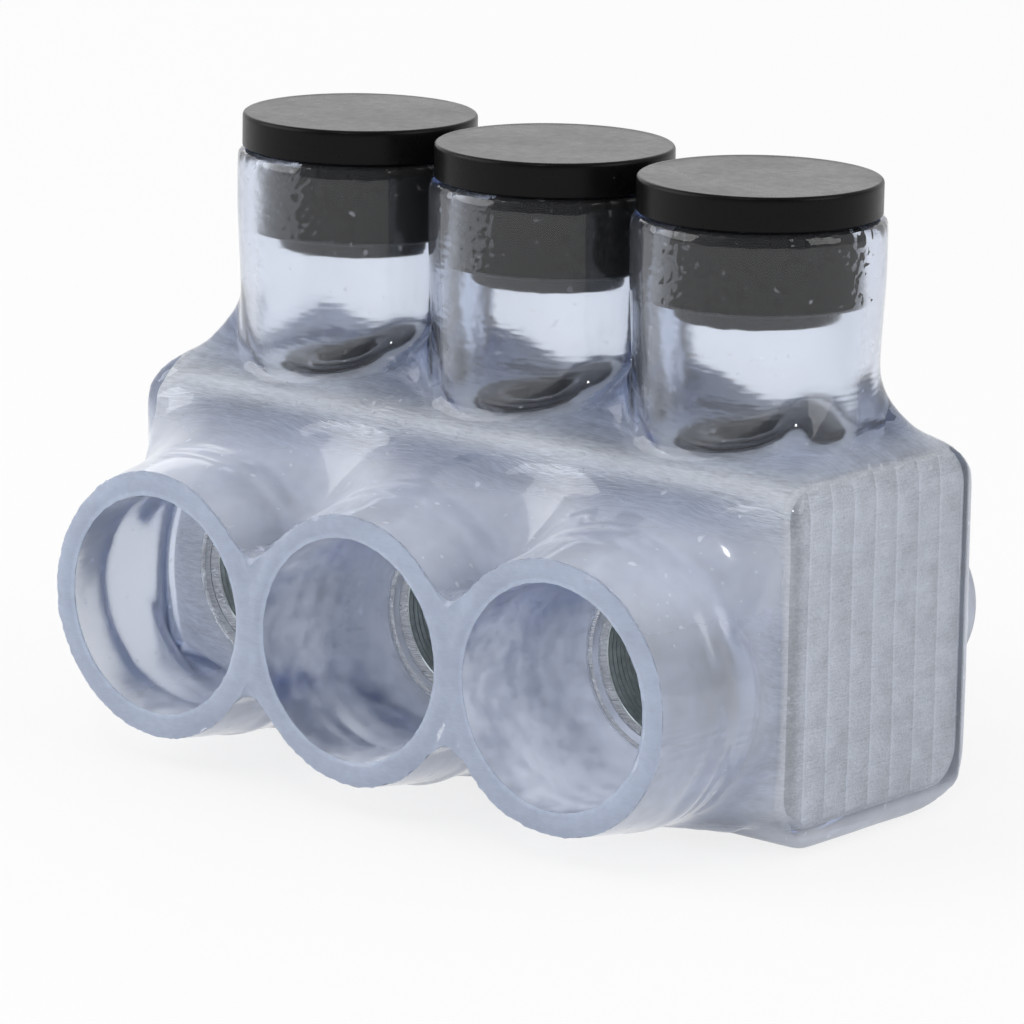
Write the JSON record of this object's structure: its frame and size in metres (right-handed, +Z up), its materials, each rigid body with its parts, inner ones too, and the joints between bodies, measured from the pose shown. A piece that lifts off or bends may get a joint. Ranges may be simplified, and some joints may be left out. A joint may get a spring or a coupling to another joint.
{
  "type": "insulated multi-tap cable connector",
  "caption": "Plated aluminium tap connector in a clear dipped jacket, with cable sleeves in a row and a capped set screw above each wire bore.",
  "frame": {"origin": "centre of the block's plan at the underside of the jacket", "axes": "+X along the row of ports, -Y the side where the cables enter, +Z up towards the screw caps"},
  "size_m": [0.0832, 0.0577, 0.0621],
  "materials": {
    "block": "tin plated, sawn ends",
    "jacket": "clear soft plastisol, dipped",
    "screw": "dark zinc",
    "cap": "satin"
  },
  "bodies": {
    "connector": {"block": "block", "jacket": "jacket"},
    "screw_1": {"set_screw_1": "screw"},
    "screw_2": {"set_screw_2": "screw"},
    "screw_3": {"set_screw_3": "screw"},
    "cap_1": {"screw_cap_1": "cap"},
    "cap_2": {"screw_cap_2": "cap"},
    "cap_3": {"screw_cap_3": "cap"}
  },
  "joints": [
    {"name": "screw_1_drive", "type": "slide", "parent": "connector", "child": "screw_1", "axis": [0, 0, -1], "range_m": [0, 0.0105]},
    {"name": "cap_1_pull", "type": "slide", "parent": "connector", "child": "cap_1", "axis": [0, 0, 1], "range_m": [0, 0.012]},
    {"name": "screw_2_drive", "type": "slide", "parent": "connector", "child": "screw_2", "axis": [0, 0, -1], "range_m": [0, 0.0105]},
    {"name": "cap_2_pull", "type": "slide", "parent": "connector", "child": "cap_2", "axis": [0, 0, 1], "range_m": [0, 0.012]},
    {"name": "screw_3_drive", "type": "slide", "parent": "connector", "child": "screw_3", "axis": [0, 0, -1], "range_m": [0, 0.0105]},
    {"name": "cap_3_pull", "type": "slide", "parent": "connector", "child": "cap_3", "axis": [0, 0, 1], "range_m": [0, 0.012]}
  ]
}
